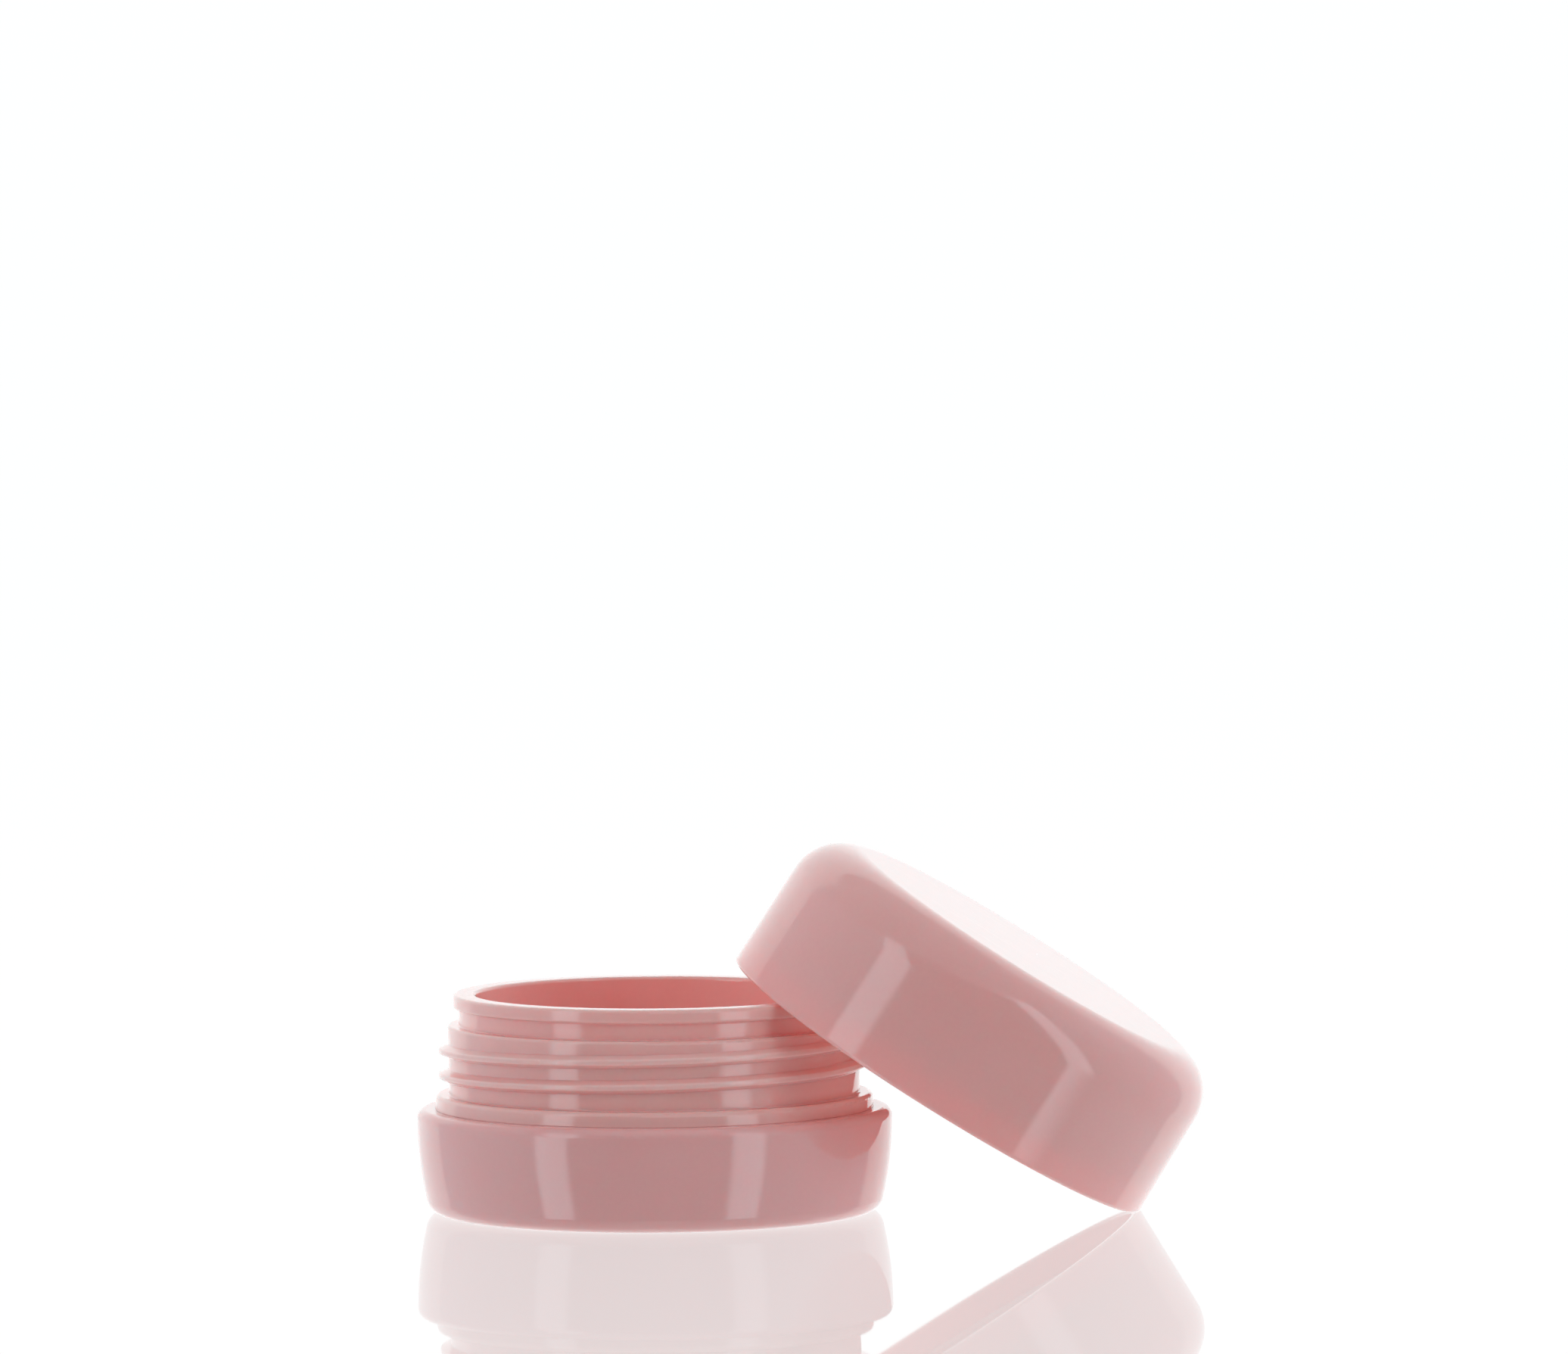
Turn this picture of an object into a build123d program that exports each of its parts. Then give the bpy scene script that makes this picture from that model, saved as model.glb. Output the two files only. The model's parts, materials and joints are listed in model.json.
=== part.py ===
from build123d import *
import math
import os

# Low screw-lid dish for nail and beauty liquids, in millimetres.
# The dish stands on z = 0 with its own axis on +Z.  The lid is off: its mouth leans on the dish's
# lip, and the lowest point of its rim stands on z = 0 at the +X side.
# The dish is double-walled: an outer shell, and an inner cup that carries the neck and its thread.
# The lid is double-walled too: an outer cap, a threaded insert, and a soft sealing liner.

# Outer shell
body_radius = 20.0
shoulder_height = 8.8
shoulder_round = 0.78
side_bow_radius = 31.0  # the side is one long arc, upright at side_bow_height
side_bow_height = 8.0
base_round = 1.45
shell_floor = 1.6
shell_foot_bore = 17.4  # hollow's radius just above the floor
shell_bore = 17.8  # hollow's radius under the socket
shell_bore_round = 1.2
socket_radius = 18.3  # the inner cup's spigot is pressed in here
socket_depth = 2.0
base_groove_radius = 14.6  # fine moulded ring in the underside
base_groove_width = 0.6
base_groove_depth = 0.3

# Inner cup: bowl, collar, threaded neck, groove and lip
lip_height = 18.43
lip_radius = 16.9
lip_thickness = 1.15
lip_round = 0.3
lip_under_round = 0.2
groove_radius = 16.42
ledge_height = 15.83
ledge_round = 0.25
neck_top_radius = 17.38
neck_foot_radius = 17.26
collar_height = 10.02
collar_radius = 18.36
collar_foot_radius = 18.44
collar_round = 0.4
corner_fillet = 0.14  # small radius where an upright wall meets a flat
spigot_radius = 18.28
spigot_chamfer = 0.2
bore_radius = 15.0
bore_foot_radius = 14.7
mouth_round = 0.3
bowl_floor_height = 3.8
bowl_inner_round = 3.6
bowl_outer_round = 4.2
bowl_wall = 1.6

# Thread, the same on the neck and in the lid: single start, right hand
thread_pitch = 2.1
ridge_height = 0.8
ridge_half_root = 0.55
ridge_half_tip = 0.2
ridge_tip_round = 0.17
ridge_embed = 0.25
neck_thread_radius = 17.32
neck_thread_start = 10.81
neck_thread_angle = 50.0
neck_thread_turns = 1.8
insert_thread_start = 3.3
insert_thread_angle = 200.0
insert_thread_turns = 1.25
runout_turn = 28.0  # degrees of a turn over which a ridge end fades into its wall

# Lid, in its own frame: rim on z = 0, closed top on +Z
lid_height = 13.54
lid_rim_radius = 20.0
lid_top_radius = 19.8
lid_top_round = 4.36
rim_outer_round = 0.3
rim_inner_round = 0.25
cap_mouth_radius = 19.1
cap_inner_top_radius = 18.86
cap_ceiling = 12.34
cap_inner_round = 3.36

insert_radius = 19.0
insert_top_radius = 18.84
insert_mouth = 2.2  # the insert starts this far inside the rim
insert_outer_round = 3.5
insert_thread_radius = 18.4
insert_seal_radius = 17.6  # bore above the thread
insert_step_low = 6.3
insert_step_high = 6.9
insert_ceiling = 11.2
insert_inner_round = 0.6
insert_mouth_chamfer = 0.25

liner_radius = 17.2
liner_thickness = 1.5
liner_gap = 0.05
liner_round = 0.2

# Where the lid leans
lid_tilt = 32.25  # degrees from level, towards +X
lid_centre_x = 23.8
rim_corner_radius = lid_rim_radius - rim_outer_round
tilt_sin = math.sin(math.radians(lid_tilt))
tilt_cos = math.cos(math.radians(lid_tilt))
# Height of the rim's centre that puts the rounded edge's lowest point on z = 0
lid_centre_z = rim_corner_radius * tilt_sin + rim_outer_round * (1 - tilt_cos)
lid_place = Location((lid_centre_x, 0, lid_centre_z), (0, lid_tilt, 0))


def turned(outline, rounds):
    """Revolve an outline of (radius, height) edges about +Z, with its corners rounded first."""
    profile = make_face(outline)
    for corner, radius in rounds:
        vertex = profile.vertices().sort_by_distance((*corner, 0))[0]
        profile = fillet(vertex, radius)
    return revolve(Plane.XZ * profile, Axis.Z, 360)


def turned_polygon(corners):
    """Turned solid from corners (radius, height, round), in order; round is 0 at a sharp corner."""
    points = [(radius, height) for radius, height, _ in corners]
    rounds = [((radius, height), size) for radius, height, size in corners if size]
    return turned(Polyline(*points, close=True), rounds)


def ridge(root_radius, outward, start_height, start_angle, turns):
    """Helical ridge on a wall; both ends curve into the wall and disappear there."""
    side = 1 if outward else -1
    crest = side * ridge_height
    root = -side * ridge_embed
    height = thread_pitch * turns
    line = Pos(0, 0, start_height) * Rot(0, 0, start_angle) * Helix(thread_pitch, height, root_radius)
    section = make_face(
        Polyline(
            (root, -ridge_half_root),
            (0, -ridge_half_root),
            (crest, -ridge_half_tip),
            (crest, ridge_half_tip),
            (0, ridge_half_root),
            (root, ridge_half_root),
            close=True,
        )
    )
    tips = section.vertices().filter_by(lambda v: abs(v.X - crest) < ridge_tip_round)
    section = fillet(tips, ridge_tip_round)
    # An end sinks by the ridge's height along an arc of this length
    length = root_radius * math.radians(runout_turn)
    drift = 2 * ridge_height / length**2
    bend = 1 / root_radius + side * drift
    pieces = []
    for at, direction in ((0, -1), (1, 1)):
        point = line @ at
        radial = Vector(point.X, point.Y, 0).normalized()
        tangent = (line % at) * direction
        frame = Plane(origin=point, x_dir=radial, z_dir=line % at)
        sink = length**2 * bend / 2
        middle = point + tangent * (length / 2) - radial * (sink / 4)
        end = point + tangent * length - radial * sink
        runout = ThreePointArc(point, middle, end)
        pieces.append(sweep(frame * section, path=runout))
        if at == 0:
            pieces.append(sweep(frame * section, path=line, is_frenet=True))
    return pieces[0] + pieces[1] + pieces[2]


def outer_shell():
    bow_centre = body_radius - side_bow_radius
    bow_angle = math.degrees(math.asin(side_bow_height / side_bow_radius))
    side = CenterArc((bow_centre, side_bow_height), side_bow_radius, -bow_angle, bow_angle)
    outline = Polyline(side @ 1, (body_radius, shoulder_height), (0, shoulder_height), (0, 0), side @ 0)
    foot = side @ 0
    rounds = [((foot.X, foot.Y), base_round), ((body_radius, shoulder_height), shoulder_round)]
    blank = turned(side + outline, rounds)
    ledge = shoulder_height - socket_depth
    hollow = turned_polygon(
        [
            (0, shell_floor, 0),
            (shell_foot_bore, shell_floor, shell_bore_round),
            (shell_bore, ledge, 0),
            (socket_radius, ledge, 0),
            (socket_radius, shoulder_height, 0),
            (0, shoulder_height, 0),
        ]
    )
    groove = turned_polygon(
        [
            (base_groove_radius, 0, 0),
            (base_groove_radius + base_groove_width, 0, 0),
            (base_groove_radius + base_groove_width, base_groove_depth, base_groove_depth / 2),
            (base_groove_radius, base_groove_depth, base_groove_depth / 2),
        ]
    )
    return blank - hollow - groove


def inner_cup():
    spigot_foot = shoulder_height - socket_depth
    bowl_top = bore_radius + bowl_wall
    bowl_foot = bore_foot_radius + bowl_wall
    bowl_base = bowl_floor_height - bowl_wall
    body = turned_polygon(
        [
            (0, bowl_base, 0),
            (bowl_foot, bowl_base, bowl_outer_round),
            (bowl_top, spigot_foot, corner_fillet),
            (spigot_radius - spigot_chamfer, spigot_foot, 0),
            (spigot_radius, spigot_foot + spigot_chamfer, 0),
            (spigot_radius, shoulder_height, 0),
            (collar_foot_radius, shoulder_height, 0),
            (collar_radius, collar_height, collar_round),
            (neck_foot_radius, collar_height, corner_fillet),
            (neck_top_radius, ledge_height, ledge_round),
            (groove_radius, ledge_height, corner_fillet),
            (groove_radius, lip_height - lip_thickness, corner_fillet),
            (lip_radius, lip_height - lip_thickness, lip_under_round),
            (lip_radius, lip_height, lip_round),
            (bore_radius, lip_height, mouth_round),
            (bore_foot_radius, bowl_floor_height, bowl_inner_round),
            (0, bowl_floor_height, 0),
        ]
    )
    thread = ridge(neck_thread_radius, True, neck_thread_start, neck_thread_angle, neck_thread_turns)
    return body + thread


def lid_cap():
    return turned_polygon(
        [
            (lid_rim_radius, 0, rim_outer_round),
            (lid_top_radius, lid_height, lid_top_round),
            (0, lid_height, 0),
            (0, cap_ceiling, 0),
            (cap_inner_top_radius, cap_ceiling, cap_inner_round),
            (cap_mouth_radius, 0, rim_inner_round),
        ]
    )


def lid_insert():
    envelope = turned_polygon(
        [
            (0, insert_mouth, 0),
            (insert_radius, insert_mouth, insert_mouth_chamfer),
            (insert_top_radius, cap_ceiling, insert_outer_round),
            (0, cap_ceiling, 0),
        ]
    )
    hollow = turned_polygon(
        [
            (0, insert_mouth, 0),
            (insert_thread_radius + insert_mouth_chamfer, insert_mouth, 0),
            (insert_thread_radius, insert_mouth + insert_mouth_chamfer, 0),
            (insert_thread_radius, insert_step_low, 0),
            (insert_seal_radius, insert_step_high, 0),
            (insert_seal_radius, insert_ceiling, insert_inner_round),
            (0, insert_ceiling, 0),
        ]
    )
    thread = ridge(
        insert_thread_radius, False, insert_thread_start, insert_thread_angle, insert_thread_turns
    )
    return (envelope - hollow) + (thread & envelope)


def lid_liner():
    top = insert_ceiling - liner_gap
    return turned_polygon(
        [
            (0, top - liner_thickness, 0),
            (liner_radius, top - liner_thickness, liner_round),
            (liner_radius, top, liner_round),
            (0, top, 0),
        ]
    )


parts = {
    "outer_shell": outer_shell(),
    "inner_cup": inner_cup(),
    "lid_cap": lid_place * lid_cap(),
    "lid_insert": lid_place * lid_insert(),
    "lid_liner": lid_place * lid_liner(),
}

os.makedirs("parts", exist_ok=True)
for name, shape in parts.items():
    export_step(shape, os.path.join("parts", name + ".step"))
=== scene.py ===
"""Looks for a low pink screw-lid dish whose lid leans on its lip.  Units are metres."""

import json
import math

import bmesh
import bpy
from mathutils import Matrix, Vector


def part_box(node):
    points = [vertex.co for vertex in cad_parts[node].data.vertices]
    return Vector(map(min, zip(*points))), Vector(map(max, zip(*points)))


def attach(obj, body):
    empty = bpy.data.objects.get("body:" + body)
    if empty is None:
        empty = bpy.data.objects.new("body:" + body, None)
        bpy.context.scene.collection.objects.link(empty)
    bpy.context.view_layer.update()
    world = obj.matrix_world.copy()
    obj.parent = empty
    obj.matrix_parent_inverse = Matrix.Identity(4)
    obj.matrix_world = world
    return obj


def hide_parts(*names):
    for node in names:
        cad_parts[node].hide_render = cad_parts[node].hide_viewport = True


MM = 0.001

# Camera: where it stands, seen from a point on the dish's axis, and how it is turned from there
CAMERA_AIM_HEIGHT = 10 * MM
CAMERA_DISTANCE = 1173 * MM
CAMERA_AZIMUTH = 3.60
CAMERA_ELEVATION = 5.5
CAMERA_HEADING = 3.055
CAMERA_PITCH = -3.799
CAMERA_ROLL = -0.352
CAMERA_LENS_MM = 320.2
SENSOR_WIDTH_MM = 36.0

LIGHT_BOUNCES = 12  # pale plastic keeps passing light on inside the bowl and the creases

# Studio: directions are degrees clockwise from straight behind the object, and degrees above level
FLOOR_RADIUS = 30.0
FLOOR_SIDES = 128
FLOOR_ROUGHNESS = 0.02
FLOOR_GLOW = (1.05, 1.015, 1.012)
FLOOR_MIRROR = (0.8, 0.78, 0.78)
FLOOR_IOR = 1.165
FLOOR_MIRROR_MOST = 0.62
SEEN_WHITE = 1.05
BACK_PANEL = {"left": -54, "right": 47, "top": 49, "level": 1.28, "tint": (0.935, 1.0, 1.0)}
STRIPS = ({"centre": -131.5, "level": 2.4}, {"centre": 129.5, "level": 2.35})
PANEL_SIDE_BLUR = 1
PANEL_TOP_BLUR = 2
STRIP_HALF_WIDTH = 8.5
STRIP_BLUR = 5
STRIP_TOP = 40
STRIP_BOTTOM = -31
STRIP_END_BLUR = 6
STRIP_TINT = (0.87, 1.0, 1.05)
SIDE_LEVEL = 0.74
FRONT_LEVEL = 0.06
SIDE_END = 105
FRONT_START = 150
ROOM_TINT = (0.87, 1.0, 1.1)
CEILING_START = 37
CEILING_BLUR = 4
CEILING_LEVEL = 0.61
CEILING_TINT = (0.93, 1.0, 1.04)
UNDER_START = -45
UNDER_BLUR = 20
WALL_BLUR = 4
BEYOND = 200  # past straight up or down, for an end that doesn't fade
UNDER_LEVEL = 0.7

# Plastic: how light enters it, red deepest, and how it bends
LIGHT_REACH = (1.0, 0.38, 0.33)
PLASTIC_IOR = 1.49

# Plastic: sizes of its small features, and how strong they are
FLOW_SIZE = 14 * MM
FLOW_CONTRAST = 0.09
GRAIN_SIZE = 0.35 * MM
GRAIN_CONTRAST = 0.03
POLISH = 0.022
SMUDGE_SIZE = 7 * MM
SMUDGE_ROUGHNESS = 0.02
SMUDGE_EDGE = (0.5, 0.75)  # noise levels between which a smudge fades in
SCRATCH_TURNS = ((0.3, 0.2, 0.5), (0.9, -0.4, 2.0))
SCRATCH_STRETCH = 40
SCRATCH_SPACING = 0.25 * MM
SCRATCH_CUT = 0.76
SCRATCH_BLUR = 0.03
SCRATCH_ROUGHNESS = 0.1
SCRATCH_DEPTH = 0.0006 * MM
DUST_SPACING = 1.3 * MM
DUST_CUT = 0.955
DUST_REACH = 0.06
DUST_COVER = 0.8
DUST_COLOUR = (0.95, 0.9, 0.88, 1)
DUST_ROUGHNESS = 0.4
DUST_HEIGHT = 0.004 * MM
RUB_SIZE = 0.5 * MM
RUB_WHITENING = 0.2
RUB_COLOUR = (1.0, 0.86, 0.84, 1)
RUB_ROUGHNESS = 0.25
SINK_SIZE = 5 * MM
SINK_HEIGHT = 0.004 * MM
PEEL_SIZE = 0.8 * MM
PEEL_HEIGHT = 0.0003 * MM
EDGE_SOFTNESS = 0.12 * MM
EDGE_SAMPLES = 6
SEAL_FADE = 0.5 * MM

# Where handling rubs the plastic: heights and radii in the dish's own frame and in the lid's
FOOT_WEAR = 0.35 * MM
CREST_RADIUS = 17.9 * MM
CREST_BLUR = 0.15 * MM
COLLAR_TOP = 10.1 * MM
COLLAR_BLUR = 0.1 * MM
LIP_WEAR = 0.25 * MM
RIM_WEAR = 0.4 * MM

# Lid: its rim lies this far behind the point that the turning joint names, along its axis
RIM_TO_JOINT = 10 * MM

# Foam liner, in the lid's frame: a disc that the lip has pressed a ring into
LINER_RADIUS = 17.2 * MM
LINER_FACE = 9.65 * MM
LINER_BACK = 11.15 * MM
LINER_ROUND = 0.2 * MM
PRESSED_RING = (15.0 * MM, 16.9 * MM)
PRESSED_DEPTH = 0.14 * MM
PRESSED_BLUR = 0.35 * MM
LINER_CROWN = 0.1 * MM
LINER_STEPS = 64
TURNED_STEPS = 192
FOAM_CELL = 0.28 * MM
FOAM_RELIEF = 0.035 * MM
# Colour of the painted shade in the foam's cell hollows
FOAM_HOLLOW_SHADE = (0.72, 0.66, 0.63, 1)
FOAM_WALL = (0.88, 0.85, 0.82, 1)
FOAM_WALL_WIDTH = 0.35  # of a cell
PRESSED_RING_DARKENING = 0.35
FOAM_IOR = 1.35


def add(tree, kind, inputs=None, **settings):
    """New node; inputs maps socket names or numbers to values or to sockets to link from."""
    made = tree.nodes.new(kind)
    for key, value in settings.items():
        setattr(made, key, value)
    for key, value in (inputs or {}).items():
        if isinstance(value, bpy.types.NodeSocket):
            tree.links.new(value, made.inputs[key])
        else:
            made.inputs[key].default_value = value
    return made


def maths(tree, operation, *values):
    return add(tree, "ShaderNodeMath", dict(enumerate(values)), operation=operation).outputs[0]


def soft_step(tree, value, start, end):
    """0 before start, 1 after end, smooth between; start may be the larger."""
    inputs = {"Value": value, "From Min": start, "From Max": end}
    return add(tree, "ShaderNodeMapRange", inputs, interpolation_type="SMOOTHSTEP").outputs[0]


def make_camera():
    around, up = math.radians(CAMERA_AZIMUTH), math.radians(CAMERA_ELEVATION)
    back = Vector((math.sin(around) * math.cos(up), -math.cos(around) * math.cos(up), math.sin(up)))
    camera = bpy.data.objects.new("camera", bpy.data.cameras.new("camera"))
    bpy.context.scene.collection.objects.link(camera)
    camera.data.lens = CAMERA_LENS_MM
    camera.data.sensor_width = SENSOR_WIDTH_MM
    heading = Matrix.Rotation(math.radians(CAMERA_HEADING), 4, "Z")
    pitch = Matrix.Rotation(math.radians(90 + CAMERA_PITCH), 4, "X")
    roll = Matrix.Rotation(math.radians(CAMERA_ROLL), 4, "Z")
    place = Matrix.Translation(Vector((0, 0, CAMERA_AIM_HEIGHT)) + back * CAMERA_DISTANCE)
    camera.matrix_world = place @ heading @ pitch @ roll
    bpy.context.scene.camera = camera


def window(tree, value, low, high, blur):
    """1 between low and high and 0 outside them, in degrees, with soft edges."""
    return band(tree, value, math.radians(low), math.radians(high), math.radians(blur))


def band(tree, value, low, high, blur):
    """1 between low and high and 0 outside them, with soft edges."""
    rising = soft_step(tree, value, low - blur / 2, low + blur / 2)
    falling = soft_step(tree, value, high + blur / 2, high - blur / 2)
    return maths(tree, "MULTIPLY", rising, falling)


def glow(tree, shape, level, tint=(1, 1, 1)):
    strength = maths(tree, "MULTIPLY", shape, level)
    light = add(tree, "ShaderNodeBackground", {"Color": (*tint, 1), "Strength": strength})
    return light.outputs[0]


def make_world():
    """What the object sees and mirrors; the camera itself sees plain white."""
    world = bpy.data.worlds.new("studio")
    bpy.context.scene.world = world
    world.use_nodes = True
    tree = world.node_tree
    tree.nodes.clear()
    direction = add(tree, "ShaderNodeTexCoord").outputs["Generated"]
    axes = add(tree, "ShaderNodeSeparateXYZ", {0: direction}).outputs
    turn = maths(tree, "ARCTAN2", axes["X"], axes["Y"])
    rise = maths(tree, "ARCSINE", axes["Z"])

    panel = window(tree, turn, BACK_PANEL["left"], BACK_PANEL["right"], PANEL_SIDE_BLUR)
    height = window(tree, rise, -BEYOND, BACK_PANEL["top"], PANEL_TOP_BLUR)
    panel = maths(tree, "MULTIPLY", panel, height)
    lights = [glow(tree, panel, BACK_PANEL["level"], BACK_PANEL["tint"])]
    for strip in STRIPS:
        centre = strip["centre"]
        shape = window(tree, turn, centre - STRIP_HALF_WIDTH, centre + STRIP_HALF_WIDTH, STRIP_BLUR)
        height = window(tree, rise, STRIP_BOTTOM, STRIP_TOP, STRIP_END_BLUR)
        shape = maths(tree, "MULTIPLY", shape, height)
        lights.append(glow(tree, shape, strip["level"], STRIP_TINT))
    beside = maths(tree, "SUBTRACT", 1.0, panel)
    above = window(tree, rise, CEILING_START, BEYOND, CEILING_BLUR)
    below = window(tree, rise, -BEYOND, UNDER_START, UNDER_BLUR)
    level = window(tree, rise, UNDER_START, CEILING_START, WALL_BLUR)
    ceiling = maths(tree, "MULTIPLY", beside, above)
    under = maths(tree, "MULTIPLY", beside, below)
    walls = maths(tree, "MULTIPLY", beside, level)
    lights.append(glow(tree, ceiling, CEILING_LEVEL, CEILING_TINT))
    lights.append(glow(tree, under, UNDER_LEVEL))
    away = maths(tree, "ABSOLUTE", turn)
    aside = soft_step(tree, away, math.radians(FRONT_START), math.radians(SIDE_END))
    aside = maths(tree, "MULTIPLY", walls, aside)
    lights.append(glow(tree, aside, SIDE_LEVEL - FRONT_LEVEL, ROOM_TINT))
    lights.append(glow(tree, walls, FRONT_LEVEL, ROOM_TINT))

    studio = lights[0]
    for light in lights[1:]:
        studio = add(tree, "ShaderNodeAddShader", {0: studio, 1: light}).outputs[0]
    plain = add(tree, "ShaderNodeBackground", {"Color": (1, 1, 1, 1), "Strength": SEEN_WHITE})
    seen = add(tree, "ShaderNodeLightPath").outputs["Is Camera Ray"]
    mix = add(tree, "ShaderNodeMixShader", {0: seen, 1: studio, 2: plain.outputs[0]})
    add(tree, "ShaderNodeOutputWorld", {"Surface": mix.outputs[0]})


def make_floor():
    """White, mirroring table that only the camera sees; the studio lights the object from below."""
    bpy.ops.mesh.primitive_circle_add(vertices=FLOOR_SIDES, radius=FLOOR_RADIUS, fill_type="NGON")
    floor = bpy.context.object
    floor.name = "floor"
    material = bpy.data.materials.new("floor")
    material.use_nodes = True
    tree = material.node_tree
    tree.nodes.clear()
    white = add(tree, "ShaderNodeEmission", {"Color": (*FLOOR_GLOW, 1)})
    mirror = add(tree, "ShaderNodeBsdfGlossy", {"Color": (*FLOOR_MIRROR, 1), "Roughness": FLOOR_ROUGHNESS})
    fresnel = add(tree, "ShaderNodeFresnel", {"IOR": FLOOR_IOR}).outputs[0]
    share = maths(tree, "MINIMUM", fresnel, FLOOR_MIRROR_MOST)
    shaders = {0: share, 1: white.outputs[0], 2: mirror.outputs[0]}
    mix = add(tree, "ShaderNodeMixShader", shaders)
    add(tree, "ShaderNodeOutputMaterial", {"Surface": mix.outputs[0]})
    floor.data.materials.append(material)
    floor.visible_diffuse = False
    floor.visible_glossy = False
    floor.visible_transmission = False
    floor.visible_shadow = False


def own_coordinates(tree, axes):
    """Point, radius and height in a turned piece's own frame, in metres; axes carries it there."""
    place = add(tree, "ShaderNodeTexCoord").outputs["Object"]
    turn = axes.to_euler()
    inputs = {"Vector": place, "Location": axes.to_translation(), "Rotation": turn}
    point = add(tree, "ShaderNodeMapping", inputs).outputs[0]
    split = add(tree, "ShaderNodeSeparateXYZ", {0: point}).outputs
    squares = maths(tree, "MULTIPLY", split["X"], split["X"])
    radius = maths(tree, "SQRT", maths(tree, "MULTIPLY_ADD", split["Y"], split["Y"], squares))
    return point, radius, split["Z"]


def noise(tree, point, size, detail=2.0, roughness=0.5):
    """Noise of 0 to 1 about 0.5, with spots about size metres across."""
    inputs = {"Vector": point, "Scale": 1 / size, "Detail": detail, "Roughness": roughness}
    return add(tree, "ShaderNodeTexNoise", inputs).outputs[0]


def stretched(tree, point, turn, stretch):
    """The point for a pattern that is stretch times longer along X; turn picks another part of it."""
    inputs = {"Vector": point, "Rotation": turn, "Scale": (1 / stretch, 1, 1)}
    return add(tree, "ShaderNodeMapping", inputs).outputs[0]


def scratches(tree, point, turn):
    """Marks along the piece's own X, seen as short dashes or, end on, as small spots; 1 in a mark."""
    lines = noise(tree, stretched(tree, point, turn, SCRATCH_STRETCH), SCRATCH_SPACING, 0)
    return soft_step(tree, lines, SCRATCH_CUT, SCRATCH_CUT + SCRATCH_BLUR)


def dust(tree, point):
    """Round specks, 1 in a speck; few cells of a fine grid hold one, and hardly any meets the surface."""
    cells = add(tree, "ShaderNodeTexVoronoi", {"Vector": point, "Scale": 1 / DUST_SPACING}).outputs
    chance = add(tree, "ShaderNodeSeparateColor", {0: cells["Color"]}).outputs[0]
    size = add(tree, "ShaderNodeMapRange", {"Value": chance, "From Min": DUST_CUT, "To Max": DUST_REACH})
    return soft_step(tree, cells["Distance"], size.outputs[0], maths(tree, "MULTIPLY", size.outputs[0], 0.5))


def blend(tree, share, first, second):
    """The first colour where share is 0, and the second where it is 1."""
    mix = add(tree, "ShaderNodeMix", data_type="RGBA")
    ends = [socket for socket in mix.inputs if socket.enabled]
    for socket, value in zip(ends, (share, first, second)):
        if isinstance(value, bpy.types.NodeSocket):
            tree.links.new(value, socket)
        else:
            socket.default_value = value
    return next(socket for socket in mix.outputs if socket.enabled)


def shade(tree, colour, factor):
    """colour, a socket, made lighter or darker by a number socket near 1."""
    return add(tree, "ShaderNodeVectorMath", {0: colour, "Scale": factor}, operation="SCALE").outputs[0]


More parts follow.
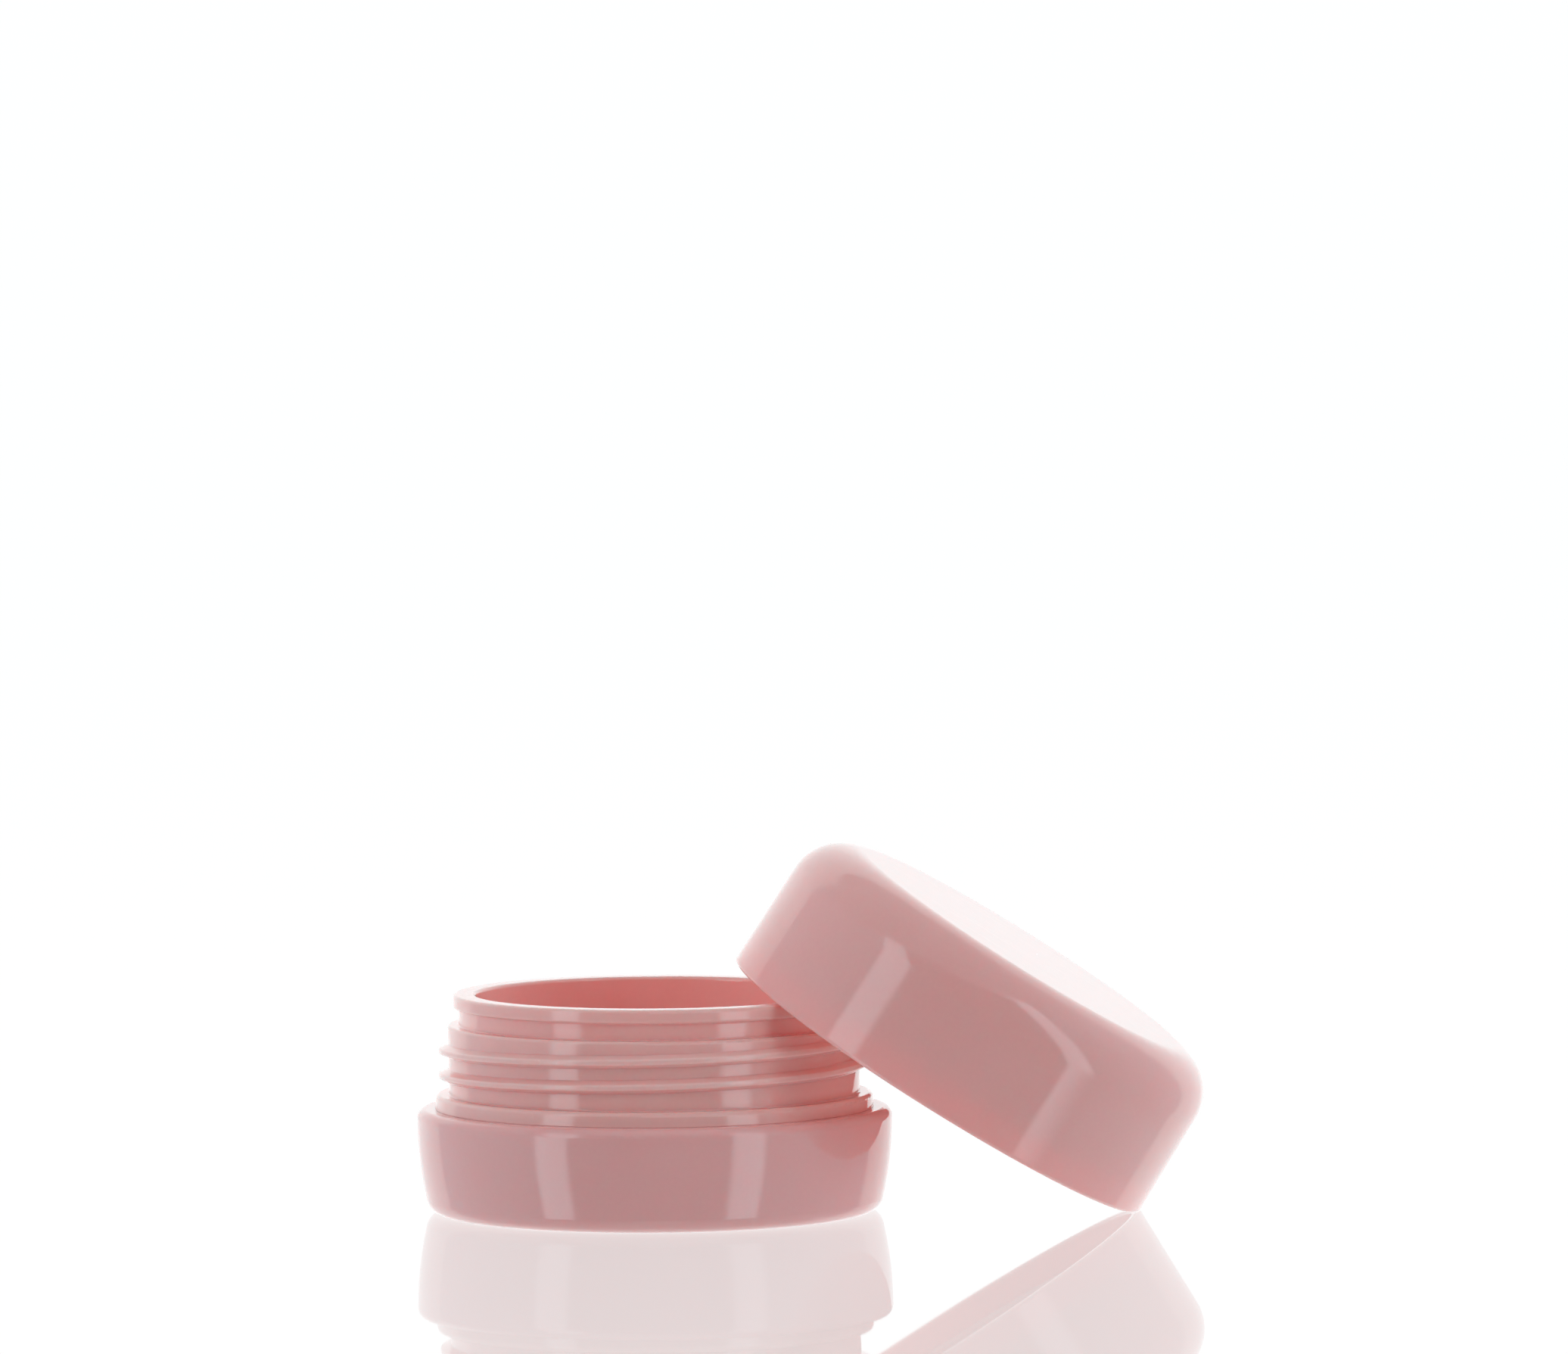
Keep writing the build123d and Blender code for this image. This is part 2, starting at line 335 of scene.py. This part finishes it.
def moulded_plastic(name, colour, depth, axes, wear=None, sealed_below=None):
    """Glossy moulded plastic that light enters to a depth of about depth metres.

    wear(tree, radius, height) gives where handling has dulled and whitened it.
    sealed_below is the height under which the piece is shut in its neighbour and passes no light.
    """
    material = bpy.data.materials.new(name)
    material.use_nodes = True
    tree = material.node_tree
    shader = tree.nodes["Principled BSDF"]
    point, radius, height = own_coordinates(tree, axes)
    flow = noise(tree, point, FLOW_SIZE, 3)
    grain = noise(tree, point, GRAIN_SIZE, 1)
    specks = dust(tree, point)
    hairlines = maths(tree, "MAXIMUM", *(scratches(tree, point, turn) for turn in SCRATCH_TURNS))
    worn = wear(tree, radius, height) if wear else 0.0
    rubbed = maths(tree, "MULTIPLY", noise(tree, point, RUB_SIZE, 4, 0.65), worn)

    light = maths(tree, "MULTIPLY_ADD", maths(tree, "SUBTRACT", flow, 0.5), FLOW_CONTRAST, 1.0)
    light = maths(tree, "MULTIPLY_ADD", maths(tree, "SUBTRACT", grain, 0.5), GRAIN_CONTRAST, light)
    tone = add(tree, "ShaderNodeRGB")
    tone.outputs[0].default_value = (*colour, 1)
    tint = shade(tree, tone.outputs[0], light)
    tint = blend(tree, maths(tree, "MULTIPLY", rubbed, RUB_WHITENING), tint, RUB_COLOUR)
    tint = blend(tree, maths(tree, "MULTIPLY", specks, DUST_COVER), tint, DUST_COLOUR)
    tree.links.new(tint, shader.inputs["Base Color"])

    smudge = soft_step(tree, noise(tree, point, SMUDGE_SIZE, 4, 0.6), *SMUDGE_EDGE)
    rough = maths(tree, "MULTIPLY_ADD", smudge, SMUDGE_ROUGHNESS, POLISH)
    rough = maths(tree, "MULTIPLY_ADD", hairlines, SCRATCH_ROUGHNESS, rough)
    rough = maths(tree, "MULTIPLY_ADD", rubbed, RUB_ROUGHNESS, rough)
    rough = maths(tree, "MULTIPLY_ADD", specks, DUST_ROUGHNESS, rough)
    tree.links.new(rough, shader.inputs["Roughness"])

    relief = maths(tree, "MULTIPLY", noise(tree, point, SINK_SIZE, 1), SINK_HEIGHT)
    relief = maths(tree, "MULTIPLY_ADD", noise(tree, point, PEEL_SIZE, 2), PEEL_HEIGHT, relief)
    relief = maths(tree, "MULTIPLY_ADD", hairlines, -SCRATCH_DEPTH, relief)
    relief = maths(tree, "MULTIPLY_ADD", specks, DUST_HEIGHT, relief)
    bump = add(tree, "ShaderNodeBump", {"Distance": 1.0, "Height": relief})
    edge = add(tree, "ShaderNodeBevel", {"Radius": EDGE_SOFTNESS}, samples=EDGE_SAMPLES)
    tree.links.new(edge.outputs[0], bump.inputs["Normal"])
    tree.links.new(bump.outputs[0], shader.inputs["Normal"])

    shader.subsurface_method = "RANDOM_WALK"
    shader.inputs["Subsurface Radius"].default_value = LIGHT_REACH
    shader.inputs["Subsurface Scale"].default_value = depth
    shader.inputs["Subsurface Weight"].default_value = 1
    if sealed_below:
        passing = soft_step(tree, height, sealed_below, sealed_below + SEAL_FADE)
        tree.links.new(passing, shader.inputs["Subsurface Weight"])
    shader.inputs["IOR"].default_value = PLASTIC_IOR
    return material


def worn_foot(tree, radius, height):
    """The ring that the dish stands on."""
    return soft_step(tree, height, FOOT_WEAR, 0)


def worn_neck(tree, radius, height):
    """Crests of the thread and the top of the lip, where the lid rubs."""
    lip_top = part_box("inner_cup")[1][2]
    crest = soft_step(tree, radius, CREST_RADIUS, CREST_RADIUS + CREST_BLUR)
    above_collar = soft_step(tree, height, COLLAR_TOP, COLLAR_TOP + COLLAR_BLUR)
    lip = soft_step(tree, height, lip_top - LIP_WEAR, lip_top)
    return maths(tree, "MAXIMUM", maths(tree, "MULTIPLY", crest, above_collar), lip)


def worn_rim(tree, radius, height):
    """The lid's rim."""
    return soft_step(tree, height, RIM_WEAR, 0)


def foam(axes):
    """Matt closed-cell foam: small cells with paler walls and hollows darkened with painted shade, faintly
    darker in the ring that the lip presses in.
    """
    material = bpy.data.materials.new("foam")
    material.use_nodes = True
    tree = material.node_tree
    shader = tree.nodes["Principled BSDF"]
    point, radius, _ = own_coordinates(tree, axes)
    cells = {"Vector": point, "Scale": 1 / FOAM_CELL}
    wall = add(tree, "ShaderNodeTexVoronoi", cells, feature="DISTANCE_TO_EDGE").outputs["Distance"]
    inside = soft_step(tree, wall, 0.0, FOAM_WALL_WIDTH)
    cloud = noise(tree, point, FLOW_SIZE, 4)
    # Painted shade: the cell hollows are darkened towards the hollow colour, more in some patches than
    # others
    shadow = maths(tree, "MULTIPLY", inside, maths(tree, "MULTIPLY_ADD", cloud, 0.8, 0.2))
    tint = blend(tree, shadow, FOAM_WALL, FOAM_HOLLOW_SHADE)
    ring = band(tree, radius, *PRESSED_RING, PRESSED_BLUR)
    # The pressed ring is made faintly darker with the hollows' colour
    tint = blend(tree, maths(tree, "MULTIPLY", ring, PRESSED_RING_DARKENING), tint, FOAM_HOLLOW_SHADE)
    tree.links.new(tint, shader.inputs["Base Color"])
    tree.links.new(maths(tree, "MULTIPLY_ADD", cloud, 0.2, 0.65), shader.inputs["Roughness"])
    walls = maths(tree, "SUBTRACT", 1.0, inside)
    bump = add(tree, "ShaderNodeBump", {"Distance": FOAM_RELIEF, "Height": walls})
    tree.links.new(bump.outputs[0], shader.inputs["Normal"])
    shader.inputs["IOR"].default_value = FOAM_IOR
    return material


def turned(name, outline, axes, material):
    """Closed solid of revolution from (radius, height) points that start and end on the axis."""
    mesh = bmesh.new()
    rings = []
    for radius, height in outline:
        turns = TURNED_STEPS if radius else 1
        angles = [2 * math.pi * step / turns for step in range(turns)]
        rings.append([mesh.verts.new((radius * math.cos(a), radius * math.sin(a), height)) for a in angles])
    for low, high in zip(rings, rings[1:]):
        for step in range(TURNED_STEPS):
            after = (step + 1) % TURNED_STEPS
            if len(low) == 1:
                corners = (low[0], high[after], high[step])
            elif len(high) == 1:
                corners = (low[step], low[after], high[0])
            else:
                corners = (low[step], low[after], high[after], high[step])
            mesh.faces.new(corners).smooth = True
    mesh.transform(axes)
    piece = bpy.data.objects.new(name, bpy.data.meshes.new(name))
    mesh.to_mesh(piece.data)
    mesh.free()
    bpy.context.scene.collection.objects.link(piece)
    piece.data.materials.append(material)
    return piece


def smooth(value, start, end):
    share = min(max((value - start) / (end - start), 0), 1)
    return share * share * (3 - 2 * share)


def liner_face(radius):
    """Height of the foam's free face: slightly crowned, with the ring that the lip has pressed in."""
    inner, outer = PRESSED_RING
    half = PRESSED_BLUR / 2
    pressed = smooth(radius, inner - half, inner + half) * (1 - smooth(radius, outer - half, outer + half))
    crown = LINER_CROWN * (1 - (radius / inner) ** 2) if radius < inner else 0
    return LINER_FACE + PRESSED_DEPTH * pressed - crown + LINER_CROWN


def make_liner(axes):
    """The lid's foam disc."""
    flat = LINER_RADIUS - LINER_ROUND
    radii = [flat * step / LINER_STEPS for step in range(LINER_STEPS + 1)]
    face = [(radius, liner_face(radius)) for radius in radii]
    edge = []
    for height, first in ((face[-1][1] + LINER_ROUND, -90), (LINER_BACK - LINER_ROUND, 0)):
        for turn in range(first, first + 91, 18):
            across, up = math.cos(math.radians(turn)), math.sin(math.radians(turn))
            edge.append((flat + LINER_ROUND * across, height + LINER_ROUND * up))
    piece = turned("foam_liner", face + edge[1:] + [(0, LINER_BACK)], axes, foam(axes.inverted()))
    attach(piece, "liner")
    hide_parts("lid_liner")


def paint(node, material):
    for slot in node.material_slots:
        slot.material = material


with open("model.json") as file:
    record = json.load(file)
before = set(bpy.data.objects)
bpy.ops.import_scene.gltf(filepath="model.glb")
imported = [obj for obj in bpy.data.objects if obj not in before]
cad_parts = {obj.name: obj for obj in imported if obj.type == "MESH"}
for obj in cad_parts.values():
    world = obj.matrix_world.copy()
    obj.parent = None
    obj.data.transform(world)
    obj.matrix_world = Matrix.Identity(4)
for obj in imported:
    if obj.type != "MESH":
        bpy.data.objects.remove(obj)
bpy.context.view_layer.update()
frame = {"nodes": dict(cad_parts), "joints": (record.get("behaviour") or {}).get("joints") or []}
nodes = frame["nodes"]

make_camera()
make_world()
make_floor()

# The lid's own frame: rim on z = 0, closed top on +Z
lid_turn = next(joint for joint in frame["joints"] if joint["name"] == "lid_turn")
lid_axis = Vector(lid_turn["axis"]).normalized()
lid_across = Vector((0, 1, 0)).cross(lid_axis)
rim_centre = Vector(lid_turn["pos_m"]) - lid_axis * RIM_TO_JOINT
lid_place = Matrix((lid_across, (0, 1, 0), lid_axis)).transposed().to_4x4()
lid_place.translation = rim_centre
upright = Matrix.Identity(4)
in_lid = lid_place.inverted()

shell = moulded_plastic("shell_plastic", (0.87, 0.46, 0.44), 0.5 * MM, upright, worn_foot)
shoulder_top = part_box("outer_shell")[1][2]
cup = moulded_plastic("cup_plastic", (0.98, 0.52, 0.48), 1.1 * MM, upright, worn_neck, shoulder_top)
cap = moulded_plastic("cap_plastic", (0.965, 0.465, 0.435), 0.8 * MM, in_lid, worn_rim)
insert = moulded_plastic("insert_plastic", (0.96, 0.46, 0.43), 0.8 * MM, in_lid)
paint(nodes["outer_shell"], shell)
paint(nodes["inner_cup"], cup)
paint(nodes["lid_cap"], cap)
paint(nodes["lid_insert"], insert)
make_liner(lid_place)

bpy.context.scene.view_settings.view_transform = "Standard"
bpy.context.scene.cycles.diffuse_bounces = LIGHT_BOUNCES
